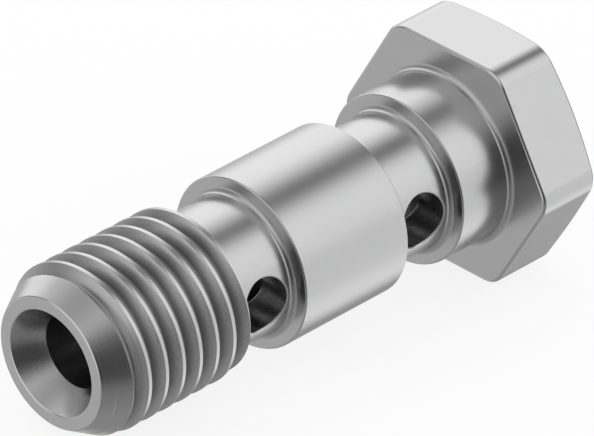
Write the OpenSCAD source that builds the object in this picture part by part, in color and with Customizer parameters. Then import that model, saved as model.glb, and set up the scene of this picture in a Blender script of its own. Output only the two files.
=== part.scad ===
// Banjo bolt for two ring fittings: a hollow hex screw turned from one bar.
// Millimetres, Z up. The bolt lies on the floor as it comes to rest, on the edge of its head
// and on the start of its thread, with the tip towards -X and the head towards +X.
// Inside the modules the bolt stands on its own axis: Z runs from the seat under the head (0)
// to the tip, X is the side that faces up when the bolt lies down, and Y is level.

/* [Head] */
// width of the hexagon across two opposite flats
head_across_flats = 11; // [10:0.5:14]
// height of the head, from the seat to the flat crown
head_height = 3.4; // [2.5:0.1:6]
// radius of the six upright corners of the hexagon
head_corner_r = 1.2; // [0.3:0.1:2]
// diameter of the flat crown where the crown bevel begins
crown_d = 9.4; // [8:0.1:9.9]
// slope of the crown bevel, against the flat crown
crown_bevel_deg = 15; // [10:1:30]

/* [Shank] */
// diameter of the collar under the head and of the land between the two necks
land_d = 8.1; // [7.6:0.05:9]
// length of the collar under the head
collar_len = 3; // [1:0.05:6]
// length of the neck on the head side
head_neck_len = 3.45; // [3:0.05:8]
// length of the land between the necks
land_len = 6.2; // [2:0.05:12]
// length of the neck on the thread side
thread_neck_len = 3.4; // [3:0.05:8]
// diameter of both necks
neck_d = 6.55; // [5.6:0.05:6.7]
// radius of the hollow round at the foot of a shoulder
foot_r = 0.3; // [0.1:0.05:0.4]
// bevel that breaks the sharp edges of the land and the collar
edge_break = 0.08; // [0.03:0.01:0.2]

/* [Thread] */
// diameter over the thread crests
thread_d = 8; // [7.6:0.05:8.1]
// length of the threaded end, with its lead-in cone
thread_len = 7.9; // [5:0.1:16]
// diameter of the flat face at the tip
tip_d = 6.2; // [5.6:0.05:6.8]
// slope of the lead-in cone, against the axis
lead_in_deg = 30; // [20:1:45]

/* [Passages] */
// diameter of the long bore
bore_d = 3.35; // [2.8:0.05:3.8]
// diameter of the countersunk mouth at the tip
mouth_d = 4.95; // [4:0.05:5.4]
// full angle of the countersunk mouth
mouth_deg = 60; // [45:1:90]
// full angle of the drill point at the blind end of the bore
drill_point_deg = 118; // [90:1:140]
// how far the bore runs on, at full width, past the last cross hole
bore_past_hole = 0.1; // [0:0.05:0.5]
// diameter of the cross hole through each neck
cross_hole_d = 2.55; // [1.5:0.05:2.8]

/* [Hidden] */
$fn = 96;
over = 1;
hair = 0.001;
land_r = land_d / 2;
neck_r = neck_d / 2;
thread_r = thread_d / 2;
tip_r = tip_d / 2;
bore_r = bore_d / 2;
mouth_r = mouth_d / 2;
crown_r = crown_d / 2;
half_flats = head_across_flats / 2;
neck_start = collar_len;
land_start = neck_start + head_neck_len;
land_end = land_start + land_len;
thread_start = land_end + thread_neck_len;
tip_z = thread_start + thread_len;
lead_in_z = tip_z - (thread_r - tip_r) / tan(lead_in_deg);
hole_spots = [(neck_start + land_start) / 2, (land_end + thread_start) / 2];
bore_end = hole_spots[0] - cross_hole_d / 2 - bore_past_hole;
drill_tip_z = bore_end - bore_r / tan(drill_point_deg / 2);
mouth_z = tip_z - (mouth_r - bore_r) / tan(mouth_deg / 2);
// the bolt leans until the head edge and the start of the thread both touch the floor
rest_tilt = atan2(half_flats - thread_r, lead_in_z);
axis_z = lead_in_z * sin(rest_tilt) + thread_r * cos(rest_tilt);
reach_tip = tip_z * cos(rest_tilt) + tip_r * sin(rest_tilt);
reach_head = head_height * cos(rest_tilt) + crown_r * sin(rest_tilt);
centre_x = (reach_tip - reach_head) / 2;

// hollow round that fills the corner between a neck of radius r and a shoulder at height z;
// side +1 has the shoulder below the neck, side -1 above it
module foot_round(r, z, side) {
    translate([r, z]) scale([1, side]) difference() {
        translate([-foot_r, -foot_r]) square(2 * foot_r);
        translate([foot_r, foot_r]) circle(r = foot_r);
    }
}

// half section of the shank, radius to the right and the axis upwards
module shank_section() {
    polygon([
        [0, -head_height / 2], [land_r, -head_height / 2],
        [land_r, neck_start - edge_break], [land_r - edge_break, neck_start],
        [neck_r, neck_start], [neck_r, land_start],
        [land_r - edge_break, land_start], [land_r, land_start + edge_break],
        [land_r, land_end - edge_break], [land_r - edge_break, land_end],
        [neck_r, land_end], [neck_r, thread_start],
        [thread_r, thread_start], [thread_r, lead_in_z],
        [tip_r, tip_z], [0, tip_z]
    ]);
    foot_round(land_r, 0, 1);
    foot_round(neck_r, neck_start, 1);
    foot_round(neck_r, land_start, -1);
    foot_round(neck_r, land_end, 1);
    foot_round(neck_r, thread_start, -1);
}

// hexagon with round corners, flats facing up and down, corners to the sides;
// the rounds stand a hair proud, so that each meets its two flats along a clean line
module hexagon() {
    corner = (half_flats - head_corner_r) / cos(30);
    turns = [for (k = [0:5]) 30 + 60 * k];
    polygon([for (a = turns) for (side = [-30, 30])
        [corner * cos(a) + head_corner_r * cos(a + side), corner * sin(a) + head_corner_r * sin(a + side)]]);
    for (a = turns) rotate(a) translate([corner, 0]) circle(r = head_corner_r + hair);
}

// head: the hexagon cut by the cone of the crown bevel
module head() {
    widest = head_across_flats;
    bevel_depth = (widest - crown_r) * tan(crown_bevel_deg);
    intersection() {
        translate([0, 0, -head_height]) linear_extrude(head_height) hexagon();
        rotate_extrude() polygon([
            [0, -head_height], [crown_r, -head_height], [widest, bevel_depth - head_height],
            [widest, over + bevel_depth], [0, over + bevel_depth]
        ]);
    }
}

// long blind bore with its countersunk mouth and drill point
module bore() {
    rotate_extrude() polygon([
        [0, drill_tip_z], [bore_r, bore_end], [bore_r, mouth_z],
        [mouth_r + over * tan(mouth_deg / 2), tip_z + over], [0, tip_z + over]
    ]);
}

module cross_holes() {
    for (z = hole_spots) translate([0, 0, z]) rotate([90, 0, 0])
        cylinder(d = cross_hole_d, h = 2 * land_d, center = true);
}

module banjo_bolt() {
    color("silver") translate([centre_x, 0, axis_z]) rotate([0, -90 - rest_tilt, 0]) difference() {
        union() {
            head();
            rotate_extrude() shank_section();
        }
        bore();
        cross_holes();
    }
}

banjo_bolt();
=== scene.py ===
import bpy
import numpy as np
from mathutils import Matrix


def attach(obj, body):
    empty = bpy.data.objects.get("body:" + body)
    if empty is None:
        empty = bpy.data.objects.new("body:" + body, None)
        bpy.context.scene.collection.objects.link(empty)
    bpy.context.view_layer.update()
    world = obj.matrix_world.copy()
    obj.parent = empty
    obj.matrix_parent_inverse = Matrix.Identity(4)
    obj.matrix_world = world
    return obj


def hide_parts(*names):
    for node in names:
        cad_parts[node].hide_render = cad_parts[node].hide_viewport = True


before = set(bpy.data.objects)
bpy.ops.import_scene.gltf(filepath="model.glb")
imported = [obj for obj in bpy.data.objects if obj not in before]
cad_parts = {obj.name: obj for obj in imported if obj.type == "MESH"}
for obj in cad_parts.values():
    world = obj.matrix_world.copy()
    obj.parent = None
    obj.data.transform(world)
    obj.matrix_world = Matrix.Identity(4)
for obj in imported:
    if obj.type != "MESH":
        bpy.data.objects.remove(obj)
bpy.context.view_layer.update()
print("frame loaded with", sorted(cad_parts))

scene = bpy.context.scene
millimetre = 0.001

# the bolt in millimetres and degrees; heights are counted from the solid's seat towards the tip
bolt = {
    "acrossFlats": 10.96,
    "solidFlats": 11.0,  # the solid's own width across flats, which sets how far the bolt leans
    "headHeight": 3.4,
    "cornerRound": 1.2,
    "crownRadius": 4.7,
    "crownBevel": 15.0,
    "crownRings": (0, 1.2, 2.4, 3.6),  # radii of the mesh's rings on the flat crown
    "seat": 0.075,
    "landRadius": 4.05,  # the collar's too
    "neckRadius": 3.275,
    "footRound": 0.3,  # hollow round at the foot of each shoulder
    "collarEnd": 3.03,
    "landStart": 6.45,
    "landEnd": 12.68,
    "threadStart": 16.0,
    "tip": 23.95,
    "threadRadius": 4.0,
    "tipRadius": 3.1,
    "leadIn": 30.0,
    "tipBand": 0.1,  # the last of the lead-in cone, which is turned together with the tip
    "boreRadius": 1.7,
    "boreEnd": 3.35,
    "drillPoint": 118.0,
    "mouthRadius": 2.5,
    "mouthAngle": 62.0,
    "crossHoleRadius": 1.275,
    "crossHoles": (4.725, 14.35),
    "thread": {
        "pitch": 1.0,
        "crestWidth": 0.2,
        "crestRound": 0.035,
        "rootRound": 0.145,
        "flank": 60.0,
        "phase": 65.0,  # turns the helix round the axis
        "blend": 0.03,  # how softly the lead-in cone cuts the thread
        "fullHollow": 0.5,  # depth at which the groove counts as fully hollow
    },
    # size of the round on each edge
    "edges": {
        "seat": 0.155,
        "bevel": 0.105,
        "crown": 0.05,
        "landFront": 0.085,
        "landRear": 0.05,
        "tip": 0.09,
        "mouth": 0.08,
        "boreMouth": 0.02,
        "drill": 0.03,
        "holeRim": 0.07,
        "holeInside": 0.05,
    },
    # how hollow the steel counts inside, from 0 in the open to 1, which paints shade there (a darker tone)
    # and makes it duller; a cross hole gets there over some rings
    "shelter": {"hole": 0.5, "holeRings": 6, "bore": 0.6, "mouth": 0.35},
    # how many steps each part of the mesh has
    "steps": {
        "corner": 8,
        "flat": 16,
        "bevel": 4,
        "bevelRound": 6,
        "side": 4,
        "seatRound": 7,
        "seatPlane": 4,
        "arc": 8,  # a round of the turned sections
        "drillArc": 4,
        "crestFlat": 3,
        "crestRound": 4,
        "flank": 12,
        "root": 5,
        "neckBand": 24,
        "boreBand": 12,
        "neckReach": 18,  # columns from the middle of a cross hole to the border of its patch
        "boreReach": 24,
        "rim": 5,
        "wall": 8,
    },
    "longestStep": 0.9,  # along a straight of the turned sections
    "shoulderStep": 0.07,  # the same where the thread runs out
    "borePatch": 1.35,  # half the height of the bore's patch round a cross hole
}
hair = 1e-6  # allowance for rounding where two values are compared


# Tangent of an angle in degrees.
def tangent(degrees):
    return np.tan(np.radians(degrees))


# Angles round the axis: equal steps over each round corner of the hexagon and equal steps over each flat.
# Seen from the axis, a round of size q whose centre is c away reaches atan(q sin 30 / (c + q cos 30)) to
# either side of its corner.
def columnAngles():
    steps, q = bolt["steps"], bolt["cornerRound"]
    centre = (bolt["acrossFlats"] / 2 - q) / np.cos(np.pi / 6)
    edge = np.degrees(np.arctan2(q * 0.5, centre + q * np.cos(np.pi / 6)))
    corner = np.linspace(-edge, edge, steps["corner"], endpoint=False)
    flat = np.linspace(edge, 60 - edge, steps["flat"], endpoint=False)
    sixths = 30 + 60 * np.arange(6)[:, None]
    return np.radians((sixths + np.concatenate([corner, flat])).ravel())


angles = columnAngles()
columns = len(angles)
# the columns that point along the cross holes, at 90 and at 270 degrees
holeColumns = [sixth * columns // 6 + bolt["steps"]["corner"] // 2 for sixth in (1, 4)]


# A point at a radius, an angle and a height: (r cos a, r sin a, z).
def polar(radius, angle, height):
    return np.stack(np.broadcast_arrays(radius * np.cos(angle), radius * np.sin(angle), height), axis=-1)


# Vectors divided by their own lengths.
def unit(vectors):
    return vectors / np.linalg.norm(vectors, axis=-1, keepdims=True)


# Even shares from 0 to 1.
def evenShares(steps):
    return np.linspace(0, 1, steps + 1)


# Turns direction a towards direction b by a share of the angle w between them:
# (sin((1 - share) w) a + sin(share w) b) / sin w.
def between(a, b, share):
    turn = np.arccos(np.clip((a * b).sum(-1, keepdims=True), -1, 1))
    return (np.sin((1 - share) * turn) * a + np.sin(share * turn) * b) / np.sin(turn)


# Each sheet is a grid of points, and for each point its normal, its place across the turning marks, how
# hollow it lies, which sets its painted shade, and whether the edge is worn there, which also paints a
# highlight on it.
sheets = []


# Takes one grid in. The place across the marks is radius plus height if nothing else is given, so that the
# marks run round the axis. A closed sheet ends with its first column again.
def addSheet(points, normals, grain=None, cavity=0, worn=0, closed=True):
    points, normals = np.broadcast_arrays(points, normals)
    if grain is None:
        grain = np.hypot(points[..., 0], points[..., 1]) + points[..., 2]
    layers = [points, normals]
    layers += [np.broadcast_to(values, points.shape[:2]) for values in (grain, cavity, worn)]
    if closed:
        layers = [np.concatenate([layer, layer[:, :1]], axis=1) for layer in layers]
    sheets.append(layers)


# A sheet from a list of rows, each with its points and its normals.
def addRows(rows, **finish):
    points, normals = (np.array(part) for part in zip(*rows))
    addSheet(points, normals, **finish)


# Half section with round corners, each given as (radius from the axis, height, size of its round). A round of
# size q that turns by w starts q tan(w/2) before its corner. Its points lie at q from its centre along the
# normal, which turns from n to n cos w + d sin w, where d is the way the path runs.
def roundedPath(corners, arcSteps=bolt["steps"]["arc"], longest=bolt["longestStep"]):
    place = np.array([corner[:2] for corner in corners], float)
    size = [corner[2] if len(corner) > 2 else 0 for corner in corners]
    run = unit(np.diff(place, axis=0))
    normal = np.stack([run[:, 1], -run[:, 0]], axis=-1)
    parts = [(place[:1], normal[:1], np.zeros(1))]
    for i in range(1, len(place)):
        before, flat = run[i - 1], normal[i - 1]
        turn, start = 0, place[i]
        if i < len(run):
            after = run[i]
            turn = np.arctan2(before[0] * after[1] - before[1] * after[0], before @ after)
            start = place[i] - before * size[i] * np.tan(abs(turn) / 2)
        gap = np.linalg.norm(start - parts[-1][0][-1])
        steps = max(int(np.ceil(gap / longest)), 2)
        share = np.arange(1, steps + 1)[:, None] / steps
        straight = start - (1 - share) * gap * before
        parts.append((straight, flat + 0 * straight, (share[:, 0] == 1) & (turn > 0)))
        if turn:
            side = np.sign(turn)
            centre = start - side * size[i] * flat
            w = turn * (np.arange(1, arcSteps + 1)[:, None] / arcSteps)
            out = np.cos(w) * flat + np.sin(w) * before
            parts.append((centre + side * size[i] * out, out, np.full(arcSteps, turn > 0)))
    # rounds that turn outward count as worn edges, which get a painted highlight
    points, normals, worn = (np.concatenate(part) for part in zip(*parts))
    return points, normals, worn[:, None]


# A half section turned round the axis: each of its points goes to every angle at its own radius and height.
def addTurned(corners, cavity=0, **options):
    path, out, worn = roundedPath(corners, **options)
    radius, height = path[:, :1], path[:, 1:]
    if callable(cavity):
        cavity = cavity(radius, height)
    normals = polar(out[:, :1], angles, out[:, 1:])
    addSheet(polar(radius, angles, height), normals, cavity=cavity, worn=worn)


# Radius of the thread. The place along the profile is height / pitch - (angle + phase) / 360, a right-hand
# helix. At a distance d from the nearest crest's middle it is the crest's flat, a round down to the flank,
# the flank's straight line at 60 degrees to the axis, or the round of the root.
def threadRadius(height, angle):
    t, top = bolt["thread"], bolt["threadRadius"]
    along = height / t["pitch"] - (np.degrees(angle) + t["phase"]) / 360
    d = np.abs((along + 0.5) % 1 - 0.5) * t["pitch"]
    slope = tangent(t["flank"])
    sine, cosine = np.sin(np.radians(t["flank"])), np.cos(np.radians(t["flank"]))
    q, w = t["crestRound"], t["rootRound"]
    flatEnd = t["crestWidth"] / 2 - q * tangent(t["flank"] / 2)
    crest = top - q + np.sqrt(np.maximum(q**2 - np.maximum(d - flatEnd, 0) ** 2, 0))
    flank = top - (d - t["crestWidth"] / 2) * slope
    valley = top - (t["pitch"] / 2 - t["crestWidth"] / 2) * slope + w / cosine
    root = valley - np.sqrt(np.maximum(w**2 - (t["pitch"] / 2 - d) ** 2, 0))
    return np.where(d < flatEnd + q * sine, crest, np.where(t["pitch"] / 2 - d < w * sine, root, flank))


# The lower of two values a and b, with the corner between them rounded over a width. With h running from 0 to
# 1 as b - a goes from -width to width, it is b (1 - h) + a h - width h (1 - h).
def softLower(a, b, width):
    h = np.clip(0.5 + 0.5 * (b - a) / width, 0, 1)
    return b * (1 - h) + a * h - width * h * (1 - h)


# The thread cut off by the lead-in cone, whose radius is the tip's plus tan(lead-in) per height behind it.
def threadedRadius(height, angle):
    cone = bolt["tipRadius"] + (bolt["tip"] - height) * tangent(bolt["leadIn"])
    return softLower(threadRadius(height, angle), cone, bolt["thread"]["blend"])


# Normals of a surface r(z, a): radial part 1, round part -(dr/da) / r and axial part -dr/dz, made one long.
# The slopes are taken over a step to either side.
def fieldNormals(radius, height, angle, step=2e-4):
    r = radius(height, angle)
    alongAxis = (radius(height + step, angle) - radius(height - step, angle)) / (2 * step)
    around = (radius(height, angle + step) - radius(height, angle - step)) / (2 * step)
    c, s = np.cos(angle), np.sin(angle)
    return unit(np.stack([c + around / r * s, s - around / r * c, -alongAxis + 0 * c], axis=-1))


# Row places over one pitch from a crest's middle: flat, round, flank and root round in their own steps, then
# the same mirrored.
def crestPhases():
    t, steps = bolt["thread"], bolt["steps"]
    sine, middle = np.sin(np.radians(t["flank"])), t["pitch"] / 2
    flatEnd = t["crestWidth"] / 2 - t["crestRound"] * tangent(t["flank"] / 2)
    stops = [0, flatEnd, flatEnd + t["crestRound"] * sine, middle - t["rootRound"] * sine, middle]
    counts = [steps[name] for name in ("crestFlat", "crestRound", "flank", "root")]
    spans = [np.linspace(a, b, n, endpoint=False) for a, b, n in zip(stops, stops[1:], counts)]
    half = np.concatenate(spans)
    return np.concatenate([half, t["pitch"] - np.append(half[1:], middle)[::-1]])


# Thread rows that follow the helix: each keeps its place on the profile while its height grows by one pitch
# in a turn. Rows past either end are held at that end, where they close up. The groove is as hollow as it
# lies below the uncut form: the crests' cylinder, then the cone a quarter pitch further in. The hollow sets
# painted shade, darker down in the groove, and a duller finish there.
def addThread(first, last):
    b, t = bolt, bolt["thread"]
    turns = np.arange(np.floor(first) - 2, np.ceil(last) + 2)
    rows = (turns[:, None] * t["pitch"] + crestPhases()).ravel()
    angle = np.append(angles, angles[0] + 2 * np.pi)
    advance = (np.degrees(angle) + t["phase"]) / 360 * t["pitch"]
    height = np.clip(rows[:, None] + advance, first, last)
    angle = np.broadcast_to(angle, height.shape)
    radius = threadedRadius(height, angle)
    ahead = b["tip"] - height - t["pitch"] / 4
    uncut = np.minimum(b["threadRadius"], b["tipRadius"] + ahead * tangent(b["leadIn"]))
    hollow = np.clip((uncut - radius) / t["fullHollow"], 0, 1)
    margin = 0.001  # the slopes are taken just inside either end
    normals = fieldNormals(threadedRadius, np.clip(height, first + margin, last - margin), angle)
    addSheet(polar(radius, angle, height), normals, cavity=hollow, closed=False)


# The last neck's foot round and the shoulder behind the thread. The radius is the lower of the section's and
# the thread's, so the groove runs out through the shoulder.
def addThreadShoulder():
    b = bolt
    corners = [(b["neckRadius"], b["threadStart"] - b["footRound"]),
               (b["neckRadius"], b["threadStart"], b["footRound"]), (b["threadRadius"], b["threadStart"])]
    path, out, _ = roundedPath(corners, longest=b["shoulderStep"])
    height = path[:, 1:] + 0 * angles
    thread = threadRadius(height, angles)
    own = polar(out[:, :1], angles, out[:, 1:])
    cut = (path[:, :1] > thread + hair) & (height < b["threadStart"] - hair)
    grooved = fieldNormals(threadRadius, height, np.broadcast_to(angles, height.shape))
    addSheet(polar(np.minimum(path[:, :1], thread), angles, height), np.where(cut[..., None], grooved, own))


# The parts of a cylinder between the two openings of a cross hole: points at its radius, at the angles that
# the openings' patches leave free. Outward is 1 for the neck and -1 for the bore.
def addBandSides(radius, outward, low, high, steps, reach):
    first, second = holeColumns
    for start, end in ((first, second), (second, first + columns)):
        around = angles[np.arange(start + reach, end - reach + 1) % columns]
        height = np.linspace(low, high, steps + 1)[:, None]
        normals = outward * polar(1, around, 0 * height)
        # the bore's side gets painted shade, a darker tone
        shelter = bolt["shelter"]["bore"] * (outward < 0)
        addSheet(polar(radius, around, height), normals, cavity=shelter, closed=False)


# Border of an opening's patch, once round: low side, up, high side and down again. At each point it gives the
# turn from the hole's own column, and the height.
def rectangleLoop(column, low, high, steps, reach):
    turn = angles[(column + np.arange(-reach, reach + 1)) % columns] - angles[column]
    turn = (turn + np.pi) % (2 * np.pi) - np.pi
    up = np.linspace(low, high, steps + 1)
    turns = np.concatenate([turn[:-1], np.full(steps, turn[-1]), turn[:0:-1], np.full(steps, turn[0])])
    heights = np.concatenate([np.full(2 * reach, low), up[:-1], np.full(2 * reach, high), up[:0:-1]])
    return turns, heights


# Rings from a patch's border to the wall of the hole. The patch goes in straight lines from the border to the
# rim, seen along the hole, and is lifted to the cylinder's depth, sqrt(r^2 - x^2). The rim is a ball of the
# round's size q rolled along the edge: its centre lies q deep in the steel, from the cylinder and the wall.
def openingRings(radius, outward, loop, middle, rimRound, direction, patchShares):
    turns, heights = loop
    away, along, up = direction
    border = np.stack([radius * np.sin(turns), heights - middle])
    bearing = np.unwrap(np.arctan2(border[0], border[1]))
    deeper = radius - outward * rimRound
    track = (bolt["crossHoleRadius"] + rimRound) * np.stack([np.sin(bearing), np.cos(bearing)])
    depth = np.sqrt(deeper**2 - track[0] ** 2)
    surface = outward * (track[0][:, None] * along + depth[:, None] * away) / deeper
    wall = -(np.sin(bearing)[:, None] * along + np.cos(bearing)[:, None] * up)
    centre = track[0][:, None] * along + depth[:, None] * away + (track[1] + middle)[:, None] * up
    contact = np.stack([track[0] * radius / deeper, track[1]])
    rings = []
    for share in patchShares:
        side, lift = (1 - share) * contact + share * border
        out = (side[:, None] * along + np.sqrt(radius**2 - side**2)[:, None] * away) / radius
        rings.append((radius * out + (lift + middle)[:, None] * up, outward * out))
    for share in evenShares(bolt["steps"]["rim"])[1:]:
        n = between(surface, wall, share)
        rings.append((centre + rimRound * n, n))
    return rings, bearing, centre + rimRound * wall


# One mouth of a cross hole, from the neck's patch over the rim and down the wall to the bore's patch. The
# wall's rings lie at the hole's radius, and their depth and bearing go evenly from one rim to the other.
def addCrossHole(middle, column, neckBand, boreBand):
    b, e, shelter = bolt, bolt["edges"], bolt["shelter"]
    face = angles[column]
    direction = polar(1, face, 0), polar(1, face + np.pi / 2, 0), np.array([0, 0, 1])
    away, along, up = direction
    shares = (1, 0.7, 0.45, 0.25, 0.1, 0)  # finer towards the rim
    outer, bearing, top = openingRings(
        b["neckRadius"], 1, rectangleLoop(column, *neckBand), middle, e["holeRim"], direction, shares)
    inner, lower, bottom = openingRings(
        b["boreRadius"], -1, rectangleLoop(column, *boreBand), middle, e["holeInside"], direction, shares)
    walls = []
    for share in evenShares(b["steps"]["wall"])[1:-1]:
        turn = (1 - share) * bearing + share * lower
        depth = (1 - share) * (top @ away) + share * (bottom @ away)
        out = np.sin(turn)[:, None] * along + np.cos(turn)[:, None] * up
        walls.append((b["crossHoleRadius"] * out + depth[:, None] * away + middle * up, -out))
    rings = outer + walls + inner[::-1]
    # it gets more hollow, so darker with painted shade, from the outer rim on, but isn't on the inner rim,
    # which is worn and painted lighter as a highlight
    ring = np.arange(len(rings))
    innerRim, borePatch = len(rings) - len(inner), len(rings) - len(shares)
    hollow = shelter["hole"] * np.clip((ring - len(shares) - 1) / shelter["holeRings"], 0, 1)
    hollow[innerRim:borePatch] = 0
    hollow[borePatch:] = shelter["bore"]
    worn = (ring >= innerRim) & (ring <= borePatch)
    addRows(rings, cavity=hollow[:, None], worn=worn[:, None])


# The rounded hexagon at each column: points and outward normals. A flat lies at half the width across flats,
# so at half / cos(angle from its middle); a corner's arc keeps its round's size q from a centre at c on the
# corner's ray, so at c cos w + sqrt(q^2 - (c sin w)^2).
def outline():
    half, q = bolt["acrossFlats"] / 2, bolt["cornerRound"]
    fromFlat = (angles + np.pi / 6) % (np.pi / 3) - np.pi / 6
    fromCorner = angles % (np.pi / 3) - np.pi / 6
    centre = (half - q) / np.cos(np.pi / 6)
    arc = centre * np.cos(fromCorner) + np.sqrt(np.maximum(q**2 - (centre * np.sin(fromCorner)) ** 2, 0))
    onArc = np.abs(fromCorner) <= np.arctan2(q * 0.5, centre + q * np.cos(np.pi / 6)) + hair
    points = polar(np.where(onArc, arc, half / np.cos(fromFlat)), angles, 0)
    arcNormals = unit(points - polar(centre, angles - fromCorner, 0))
    return points, np.where(onArc[:, None], arcNormals, polar(1, angles - fromFlat, 0))


# Head from the middle of its crown over the bevel and the sides to the seat. Every row is the hexagon's
# outline, a circle or a blend of the two, set on the plane or the cone that it belongs to. The bevel is the
# cone z = (r - crown radius) tan(bevel) above the crown. A round of size q is the outline moved q inwards,
# then q outwards along normals that turn from one face to the next.
def addHead():
    b, e, steps = bolt, bolt["edges"], bolt["steps"]
    shape, side = outline()
    up = np.array([0, 0, 1.0])
    lean = np.radians(b["crownBevel"])

    def coneHeight(points):
        past = np.hypot(points[..., 0], points[..., 1]) - b["crownRadius"]
        return past * tangent(b["crownBevel"]) - b["headHeight"]

    def coneNormal(points):
        return np.sin(lean) * unit(points * (1, 1, 0)) - np.cos(lean) * up

    crownRings = (*b["crownRings"], b["crownRadius"] - e["crown"])
    rows = [(polar(r, angles, -b["headHeight"]), 0 * shape - up) for r in crownRings]
    ball = shape - e["bevel"] * side  # centres of the round between the side and the bevel
    ball = ball + (coneHeight(ball) + e["bevel"] / np.cos(lean))[:, None] * up
    start = polar(b["crownRadius"] + e["crown"], angles, 0)
    end = (ball + e["bevel"] * coneNormal(ball)) * (1, 1, 0)
    for share in evenShares(steps["bevel"]):
        row = (1 - share) * start + share * end
        rows.append((row + coneHeight(row)[:, None] * up, coneNormal(row)))
    firstWornHighlightRow = len(rows) - 1  # the last row on the bevel
    for share in evenShares(steps["bevelRound"])[1:]:
        n = between(coneNormal(ball), side, share)
        rows.append((ball + e["bevel"] * n, n))
    # the bevel's round is a worn edge, painted lighter as a highlight
    addRows(rows, worn=(np.arange(len(rows)) >= firstWornHighlightRow)[:, None])

    # the sides: their marks run up the head, so the place across them is the way round the outline
    low, high = ball[:, 2], b["seat"] - e["seat"]
    girth = np.cumsum(np.linalg.norm(np.diff(shape, axis=0, append=shape[:1]), axis=1))
    rows = []
    for share in evenShares(steps["side"]):
        rows.append((shape + ((1 - share) * low + share * high)[:, None] * up, side))
    addRows(rows, grain=np.roll(girth, 1))

    # the seat's round and its plane
    rows = []
    ball = shape - e["seat"] * (side + up) + b["seat"] * up
    for share in evenShares(steps["seatRound"]):
        n = between(side, 0 * side + up, share)
        rows.append((ball + e["seat"] * n, n))
    start = ball * (1, 1, 0) + b["seat"] * up
    end = polar(b["landRadius"] + b["footRound"], angles, b["seat"])
    for share in evenShares(steps["seatPlane"])[1:]:
        rows.append(((1 - share) * start + share * end, 0 * side + up))
    # the seat's round is a worn edge, painted lighter as a highlight
    addRows(rows, worn=(np.arange(len(rows)) <= steps["seatRound"])[:, None])


# Everything from the seat to the tip and the passages inside: turned sections, the thread, and the bands of
# the necks and the bore that the cross holes break through. The drill point is r / tan(half its angle) deep,
# and the mouth (mouth radius - bore radius) / tan(half its angle).
def addShank():
    b, e, steps, shelter = bolt, bolt["edges"], bolt["steps"], bolt["shelter"]
    foot, neck, land, bore = b["footRound"], b["neckRadius"], b["landRadius"], b["boreRadius"]
    patch = b["borePatch"]
    far, near = b["crossHoles"]
    addTurned([
        (land + foot, b["seat"]), (land, b["seat"], foot), (land, b["collarEnd"], e["landFront"]),
        (neck, b["collarEnd"], foot), (neck, b["collarEnd"] + foot)])
    addTurned([
        (neck, b["landStart"] - foot), (neck, b["landStart"], foot), (land, b["landStart"], e["landRear"]),
        (land, b["landEnd"], e["landFront"]), (neck, b["landEnd"], foot), (neck, b["landEnd"] + foot)])
    addThreadShoulder()
    threadEnd, coneEnd = b["tip"] - b["tipBand"], b["tipRadius"] + b["tipBand"] * tangent(b["leadIn"])
    addThread(b["threadStart"], threadEnd)
    drillDepth = bore / tangent(b["drillPoint"] / 2)
    mouthDepth = (b["mouthRadius"] - bore) / tangent(b["mouthAngle"] / 2)
    mouthEnd = b["tip"] - mouthDepth - e["boreMouth"]

    # painted shade in the mouth: darker the deeper it goes towards the bore
    def mouthCavity(radius, height):
        deep = np.clip((b["tip"] - height) / mouthDepth, 0, 1)
        return shelter["mouth"] * deep * (radius < b["mouthRadius"])

    addTurned([
        (coneEnd, threadEnd), (b["tipRadius"], b["tip"], e["tip"]), (b["mouthRadius"], b["tip"], e["mouth"]),
        (bore, b["tip"] - mouthDepth, e["boreMouth"]), (bore, mouthEnd)], cavity=mouthCavity)
    # the bore is painted darker, a painted shade inside the passage
    addTurned([(bore, mouthEnd), (bore, near + patch)], cavity=shelter["bore"])
    addTurned([(bore, near - patch), (bore, far + patch)], cavity=shelter["bore"])
    addTurned([(bore, far - patch), (bore, b["boreEnd"], e["drill"]), (0, b["boreEnd"] - drillDepth)],
              arcSteps=steps["drillArc"], cavity=shelter["bore"])
    necks = ((far, b["collarEnd"] + foot, b["landStart"] - foot),
             (near, b["landEnd"] + foot, b["threadStart"] - foot))
    for middle, low, high in necks:
        neckBand = (low, high, steps["neckBand"], steps["neckReach"])
        boreBand = (middle - patch, middle + patch, steps["boreBand"], steps["boreReach"])
        addBandSides(neck, 1, *neckBand)
        addBandSides(bore, -1, *boreBand)
        for column in holeColumns:
            addCrossHole(middle, column, neckBand, boreBand)


# Where the bolt lies: it leans until the head's edge and the start of the thread both touch the floor, by
# atan((half the flats - thread radius) / height of the lead-in cone's start). The rows of the axes are the
# scene's directions of the bolt's x, y and z, and the place is the seat's middle.
def restPlace():
    b = bolt
    coneStart = b["tip"] - (b["threadRadius"] - b["tipRadius"]) / tangent(b["leadIn"])
    lean = np.arctan2(b["solidFlats"] / 2 - b["threadRadius"], coneStart)
    height = coneStart * np.sin(lean) + b["threadRadius"] * np.cos(lean)
    reachTip = b["tip"] * np.cos(lean) + b["tipRadius"] * np.sin(lean)
    reachHead = b["headHeight"] * np.cos(lean) + b["crownRadius"] * np.sin(lean)
    axes = [[-np.sin(lean), 0, np.cos(lean)], [0, 1, 0], [-np.cos(lean), 0, -np.sin(lean)]]
    return np.array(axes), np.array([(reachTip - reachHead) / 2, 0, height])


boltAxes, seatPlace = restPlace()


# The bolt's own millimetres as the scene's metres: turned by the lean, then moved to where the seat lies.
def onFloor(points):
    return (points @ boltAxes + seatPlace) * millimetre


# One quad for each cell of a grid of rows by columns, as the numbers of the cell's four corners in turn.
def gridFaces(rows, across):
    index = np.arange(rows * across).reshape(rows, across)
    return np.stack([index[:-1, :-1], index[:-1, 1:], index[1:, 1:], index[1:, :-1]], axis=-1).reshape(-1, 4)


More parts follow.
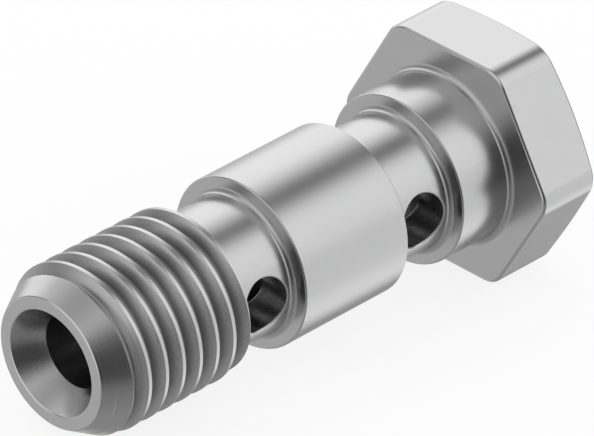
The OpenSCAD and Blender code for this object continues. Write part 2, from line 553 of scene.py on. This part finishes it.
# All sheets as one closed mesh: points that share a place on a fine lattice become one, and a quad that has
# lost a side becomes a triangle. A face whose diagonals' cross product points against its normals is turned.
def weldSheets():
    points, normals = (np.concatenate([sheet[k].reshape(-1, 3) for sheet in sheets]) for k in (0, 1))
    finish = {name: np.concatenate([sheet[k].ravel() for sheet in sheets])
              for k, name in ((2, "grain"), (3, "cavity"), (4, "worn"))}
    quads, base = [], 0
    for sheet in sheets:
        rows, across = sheet[0].shape[:2]
        quads.append(gridFaces(rows, across) + base)
        base += rows * across
    quads = np.concatenate(quads)
    cell, shift = 1e-4, 0.3183  # the shift keeps round values off the borders of the lattice's cells
    lattice = np.floor(points / cell + shift).astype(np.int64)
    _, first, shared = np.unique(lattice, axis=0, return_index=True, return_inverse=True)
    shared = shared.ravel()
    p = points[quads]
    facing = np.cross(p[:, 2] - p[:, 0], p[:, 3] - p[:, 1])
    wrong = (facing * normals[quads].sum(1)).sum(1) < 0
    quads[wrong] = quads[wrong][:, ::-1]
    corner = shared[quads]
    same = corner == np.roll(corner, -1, axis=1)  # where a side has no length
    crossed = (corner[:, 0] == corner[:, 2]) | (corner[:, 1] == corner[:, 3])
    whole = quads[(same.sum(1) == 0) & ~crossed]
    once = (same.sum(1) == 1) & ~crossed
    keep = (np.argmax(same[once], axis=1)[:, None] + np.arange(1, 4)) % 4
    triangles = np.take_along_axis(quads[once], keep, axis=1)
    return points[first], shared, (whole, triangles), normals, finish


# Fills the mesh straight from the arrays, in metres and lying on the floor. An edge is open unless two faces
# share it.
def makeBolt():
    places, shared, faces, normals, finish = weldSheets()
    corners = np.concatenate([group.ravel() for group in faces])
    starts = np.cumsum(np.concatenate([np.full(len(group), group.shape[1]) for group in faces]))
    starts = np.append(0, starts[:-1])
    mesh = bpy.data.meshes.new("turnedBanjoBolt")
    mesh.vertices.add(len(places))
    mesh.vertices.foreach_set("co", onFloor(places).astype(np.float32).ravel())
    mesh.loops.add(len(corners))
    mesh.loops.foreach_set("vertex_index", shared[corners].astype(np.int32))
    mesh.polygons.add(len(starts))
    mesh.polygons.foreach_set("loop_start", starts.astype(np.int32))
    mesh.update(calc_edges=True)
    mesh.polygons.foreach_set("use_smooth", np.ones(len(starts), bool))
    # a face is worn, so smoother and painted lighter as a highlight, where all its corners are
    worn = [np.broadcast_to(finish["worn"][group].min(1, keepdims=True), group.shape) for group in faces]
    layers = {"grain": finish["grain"][corners], "cavity": finish["cavity"][corners],
              "worn": np.concatenate([group.ravel() for group in worn])}
    for name, values in layers.items():
        mesh.attributes.new(name, "FLOAT", "CORNER").data.foreach_set("value", values.astype(np.float32))
    mesh.normals_split_custom_set(unit(normals[corners] @ boltAxes).astype(np.float32))
    piece = bpy.data.objects.new("turnedBanjoBolt", mesh)
    scene.collection.objects.link(piece)
    sides = [np.stack([group, np.roll(group, -1, axis=1)], axis=-1).reshape(-1, 2) for group in faces]
    sides = np.sort(shared[np.concatenate(sides)], axis=1)
    _, uses = np.unique(sides, axis=0, return_counts=True)
    triangles = sum(len(group) * (group.shape[1] - 2) for group in faces)
    print("bolt mesh:", len(places), "points,", triangles, "triangles,", int((uses != 2).sum()), "open edges")
    return piece


addHead()
addShank()
boltPiece = makeBolt()

# the steel's own colour and gloss; what is hollow gets painted shade, a darker tone, and is duller; worn
# edges are smoother and get a painted highlight, a lighter tone
steel = {
    "colour": (0.658, 0.658, 0.663),
    "shade": 0.03,  # how much darker the darkest clouds are
    "roughness": 0.24,
    "roughnessSpread": 0.05,
    "lineFineness": 26.0,  # scale of the marks' noise for each millimetre
    "lineHeight": 0.0000004,  # metres
    "cloudFineness": 0.35,  # scale of the clouds' noise for each millimetre
    # painted shade: the tone falls to this where the steel is fully hollow
    "cavityShade": 0.52,  # tone where it is fully hollow
    "cavityRoughness": 0.1,
    "wornRoughness": -0.16,
    # painted highlight: how much lighter the tone is on worn edges
    "wornShade": 0.1,
}


# One shader node: settings by name, and each input a value or another node's output.
def node(tree, kind, inputs=None, **settings):
    made = tree.nodes.new(kind)
    for name, value in settings.items():
        setattr(made, name, value)
    for name, value in (inputs or {}).items():
        if isinstance(value, bpy.types.NodeSocket):
            tree.links.new(value, made.inputs[name])
        else:
            made.inputs[name].default_value = value
    return made


# Output of one Math node.
def arithmetic(tree, operation, *values):
    return node(tree, "ShaderNodeMath", dict(enumerate(values)), operation=operation).outputs[0]


# An empty material and its node tree.
def emptyMaterial(name):
    material = bpy.data.materials.new(name)
    material.use_nodes = True
    material.node_tree.nodes.clear()
    return material, material.node_tree


# Bright turned steel: fine marks across the turning from one-dimensional noise, and faint clouds of tone.
# Tone = clouds x painted shade of the hollows + painted highlight on worn edges; roughness = marks and clouds
# + hollow share + worn share.
def steelMaterial():
    s = steel
    material, tree = emptyMaterial("brightTurnedSteel")

    def attribute(name):
        return node(tree, "ShaderNodeAttribute", attribute_name=name).outputs["Fac"]

    cavity, worn = attribute("cavity"), attribute("worn")
    coordinates = node(tree, "ShaderNodeTexCoord")
    lines = node(tree, "ShaderNodeTexNoise", {
        "W": attribute("grain"), "Scale": s["lineFineness"], "Detail": 3.0, "Roughness": 0.6,
    }, noise_dimensions="1D")
    clouds = node(tree, "ShaderNodeTexNoise", {
        "Vector": coordinates.outputs["Object"], "Scale": s["cloudFineness"] / millimetre,
        "Detail": 4.0, "Roughness": 0.55,
    })
    # nearly all of the noise lies between 0.3 and 0.7
    shade = node(tree, "ShaderNodeMapRange", {
        "Value": clouds.outputs["Fac"], "From Min": 0.3, "From Max": 0.7,
        "To Min": 1 - s["shade"], "To Max": 1.0,
    })
    # painted shade: the colour darkens where the steel lies hollow
    hollow = node(tree, "ShaderNodeMapRange", {
        "Value": cavity, "To Min": 1.0, "To Max": s["cavityShade"],
    }, interpolation_type="SMOOTHSTEP")
    tone = arithmetic(tree, "MULTIPLY", shade.outputs["Result"], hollow.outputs["Result"])
    # painted highlight: worn edges are painted lighter
    tone = arithmetic(tree, "MULTIPLY_ADD", worn, s["wornShade"], tone)
    colour = node(tree, "ShaderNodeVectorMath", {0: s["colour"], "Scale": tone}, operation="SCALE")
    mixed = arithmetic(tree, "ADD", lines.outputs["Fac"], clouds.outputs["Fac"])
    spread = s["roughnessSpread"] / 2
    rough = node(tree, "ShaderNodeMapRange", {
        "Value": mixed, "From Min": 0.7, "From Max": 1.3,
        "To Min": s["roughness"] - spread, "To Max": s["roughness"] + spread,
    })
    roughness = arithmetic(tree, "MULTIPLY_ADD", cavity, s["cavityRoughness"], rough.outputs["Result"])
    roughness = arithmetic(tree, "MULTIPLY_ADD", worn, s["wornRoughness"], roughness)
    bump = node(tree, "ShaderNodeBump", {
        "Height": lines.outputs["Fac"], "Strength": 1.0, "Distance": s["lineHeight"],
    })
    surface = node(tree, "ShaderNodeBsdfPrincipled", {
        "Base Color": colour.outputs["Vector"], "Metallic": 1.0, "Roughness": roughness,
        "Normal": bump.outputs["Normal"],
    })
    node(tree, "ShaderNodeOutputMaterial", {"Surface": surface.outputs[0]})
    return material


boltPiece.data.materials.append(steelMaterial())
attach(boltPiece, "root")
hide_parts("banjo_bolt")
print("bolt placed and finished")

# the photograph's view: around turns from the tip to the right, above rises towards the bolt's x, and depth
# and slide place the seat's middle before the camera, in millimetres
view = {
    "around": 45.1,
    "above": 32.155,
    "roll": 0.02,
    "lens": 511.5,
    "depth": 371.8,
    "slide": (-6.533, -2.818),
}


# Direction in the bolt's own axes for an angle around and an angle above:
# (sin above, -cos above sin around, cos above cos around).
def ownDirection(around, above):
    a, e = np.radians(around), np.radians(above)
    return np.stack(np.broadcast_arrays(np.sin(e), -np.cos(e) * np.sin(a), np.cos(e) * np.cos(a)), axis=-1)


# A camera or lamp that looks against the direction back, with its own right and up.
def aimedObject(name, data, right, up, back, place):
    turn = np.eye(4)
    turn[:3, :3] = np.stack([right, up, back], axis=1)
    turn[:3, 3] = place
    piece = bpy.data.objects.new(name, data)
    piece.matrix_world = Matrix(turn.tolist())
    scene.collection.objects.link(piece)
    return piece


# The level right is turned by the roll: right cos r + up sin r, and up cos r - right sin r.
def addCamera():
    v = view
    back = ownDirection(v["around"], v["above"])
    a, r = np.radians(v["around"]), np.radians(v["roll"])
    right = np.array([0, -np.cos(a), -np.sin(a)])
    up = np.cross(back, right)
    right, up = np.cos(r) * right + np.sin(r) * up, np.cos(r) * up - np.sin(r) * right
    place = back * v["depth"] + right * v["slide"][0] + up * v["slide"][1]
    data = bpy.data.cameras.new("photoView")
    data.lens = v["lens"]
    data.sensor_width = 36
    data.clip_start = 0.01
    data.clip_end = 10
    axes = (direction @ boltAxes for direction in (right, up, back))
    scene.camera = aimedObject("photoView", data, *axes, onFloor(place))


addCamera()
print("camera set")


# A mesh object from an array of points and an array of quads.
def meshPiece(name, points, faces, material):
    mesh = bpy.data.meshes.new(name)
    mesh.from_pydata(points.tolist(), [], faces.tolist())
    mesh.update()
    mesh.materials.append(material)
    piece = bpy.data.objects.new(name, mesh)
    scene.collection.objects.link(piece)
    return piece


floorLook = {"radius": 1.6, "colour": (0.95, 0.95, 0.95), "glow": 0.85}  # glow is how far it goes to white


# A pale square that keeps the bolt's shadow. Seen straight, in gloss or through glass, it is mostly white:
# share of white = glow x (camera ray + glossy ray + transmission ray).
def addFloor():
    material, tree = emptyMaterial("paleFloor")
    paint = node(tree, "ShaderNodeBsdfDiffuse", {"Color": (*floorLook["colour"], 1)})
    white = node(tree, "ShaderNodeEmission", {"Color": (1, 1, 1, 1), "Strength": 1.0})
    path = node(tree, "ShaderNodeLightPath").outputs
    seen = arithmetic(tree, "ADD", path["Is Camera Ray"], path["Is Glossy Ray"])
    seen = arithmetic(tree, "ADD", seen, path["Is Transmission Ray"])
    share = arithmetic(tree, "MULTIPLY", seen, floorLook["glow"])
    both = node(tree, "ShaderNodeMixShader", {0: share, 1: paint.outputs[0], 2: white.outputs[0]})
    node(tree, "ShaderNodeOutputMaterial", {"Surface": both.outputs[0]})
    square = floorLook["radius"] * np.array([[-1, -1, 0], [1, -1, 0], [1, 1, 0], [-1, 1, 0.0]])
    floor = meshPiece("paleFloor", square, np.array([[0, 1, 2, 3]]), material)
    floor.visible_glossy = False  # in the metal the white world stands for the floor


# cards in the reflections: around and above as for the camera, each from-to, then how bright the card looks,
# how many degrees its edges fade over, and how far away it stands in metres; a nearer one hides a farther one
cards = {
    "frontWall": ((-120.6, 130.1), (-44.5, 89.9), 0.66, 35.2, 0.36),
    "horizon": ((74, 201.3), (-52.2, 17.7), 0.85, 22.2, 0.35),
    "backLeftBelow": ((-197.1, -107.8), (-89.9, -12.3), 0.30, 40, 0.345),
    "frontBelow": ((-95.3, 130.4), (-89.9, 35.3), 0.22, 40, 0.34),
    "faceCard": ((-154.8, 17.7), (-78.7, 14), 0.54, 34.4, 0.33),
    "frontLowFlag": ((-34.9, 27.3), (-57.7, -20.4), 0.32, 15.2, 0.325),
    "topCard": ((-180, 180), (41.9, 89.9), 0.37, 31.8, 0.32),
    "frontGlow": ((-39.2, 17.5), (-16.8, 29.2), 0.67, 17, 0.318),
    "leftFlag": ((-71.5, -37), (0.2, 43.4), 0.26, 11.4, 0.315),
    "leftGap": ((-126.3, -99.1), (-24.8, 22.2), 0.34, 14.2, 0.312),
    "topStripe": ((144.4, 218), (2.7, 88.9), 0.20, 34.3, 0.3),
    "rightFlag": ((26.6, 94.3), (-44.1, 66.3), 0.03, 38.6, 0.28),
    "rightEdge": ((67.8, 107.2), (-89, 88.1), 1.03, 40, 0.275),
    "nadir": ((-180, 180), (-89.9, -50.9), 0.32, 21.3, 0.272),
    "zenith": ((-180, 180), (70.7, 89.9), 0.08, 19.2, 0.27),
    "backFlag": ((138, 226), (-38, 25), 0.12, 14, 0.268),
    "leftBright": ((-110, -73), (-8, 47), 1.08, 13, 0.265),
    "edgeGlow": ((-40, 8), (-30, 6), 1.15, 12, 0.264),
    "cameraFlag": ((26, 80), (-24, 26), 0.05, 12, 0.263),
    "lowLeftFlag": ((-49.8, -13.1), (-68.6, -32.7), 0.35, 9.5, 0.262),
}


# A soft-edged card seen only in reflections: a patch of a sphere round the bolt. Its cover rises from its
# edges as 3 s^2 - 2 s^3, where s is the angle from the edge over the fade. It has no edge at a pole or where
# it goes all the way round.
def addCard(name, around, above, brightness, fade, distance):
    material, tree = emptyMaterial(name)
    edge = node(tree, "ShaderNodeAttribute", attribute_name="cover")
    clear = node(tree, "ShaderNodeBsdfTransparent")
    glow = node(tree, "ShaderNodeEmission", {"Color": (1, 1, 1, 1), "Strength": brightness})
    both = node(tree, "ShaderNodeMixShader", {
        0: edge.outputs["Fac"], 1: clear.outputs[0], 2: glow.outputs[0],
    })
    node(tree, "ShaderNodeOutputMaterial", {"Surface": both.outputs[0]})
    steps, pole, noEdge = 48, 89, 180  # the grid's steps, what counts as a pole, and more than any fade
    share = evenShares(steps)
    a = around[0] + (around[1] - around[0]) * share
    e = (above[0] + (above[1] - above[0]) * share)[:, None]
    points = distance * (ownDirection(a, e) @ boltAxes) + seatPlace * millimetre
    piece = meshPiece(name, points.reshape(-1, 3), gridFaces(steps + 1, steps + 1), material)
    nearSide = np.minimum(a - around[0], around[1] - a) if around[1] - around[0] < 360 else noEdge + 0 * a
    nearFoot = e - above[0] if above[0] > -pole else noEdge + 0 * e
    nearTop = above[1] - e if above[1] < pole else noEdge + 0 * e
    rise = [np.clip(reach / fade, 0, 1) for reach in (nearSide, np.minimum(nearFoot, nearTop))]
    rise = [s * s * (3 - 2 * s) for s in rise]
    cover = piece.data.attributes.new("cover", "FLOAT", "POINT")
    cover.data.foreach_set("value", (rise[0] * rise[1]).astype(np.float32).ravel())
    piece.visible_camera = piece.visible_diffuse = piece.visible_shadow = False


softbox = {"around": -113.5, "above": 21.6, "distance": 0.4, "size": (0.426, 0.360), "brightness": 0.19}


# An area light that faces the bolt. How bright it looks is its power / (pi x its area).
def addSoftbox():
    s = softbox
    data = bpy.data.lights.new("backLeftSoftbox", "AREA")
    data.shape = "RECTANGLE"
    data.size, data.size_y = s["size"]
    data.energy = s["brightness"] * np.pi * data.size * data.size_y
    back = ownDirection(s["around"], s["above"]) @ boltAxes
    right = unit(np.cross([0, 0, 1], back))
    place = s["distance"] * back + seatPlace * millimetre
    aimedObject("backLeftSoftbox", data, right, np.cross(back, right), back, place)


worldLook = {"colour": (1, 1, 1), "strength": 1.0}


# The same light from everywhere.
def addWorld():
    world = bpy.data.worlds.new("whiteStudio")
    world.use_nodes = True
    tree = world.node_tree
    tree.nodes.clear()
    glow = node(tree, "ShaderNodeBackground", {
        "Color": (*worldLook["colour"], 1), "Strength": worldLook["strength"],
    })
    node(tree, "ShaderNodeOutputWorld", {"Surface": glow.outputs[0]})
    scene.world = world


addFloor()
for name, card in cards.items():
    addCard(name, *card)
addSoftbox()
addWorld()
scene.view_settings.view_transform = "Standard"
print("studio set")
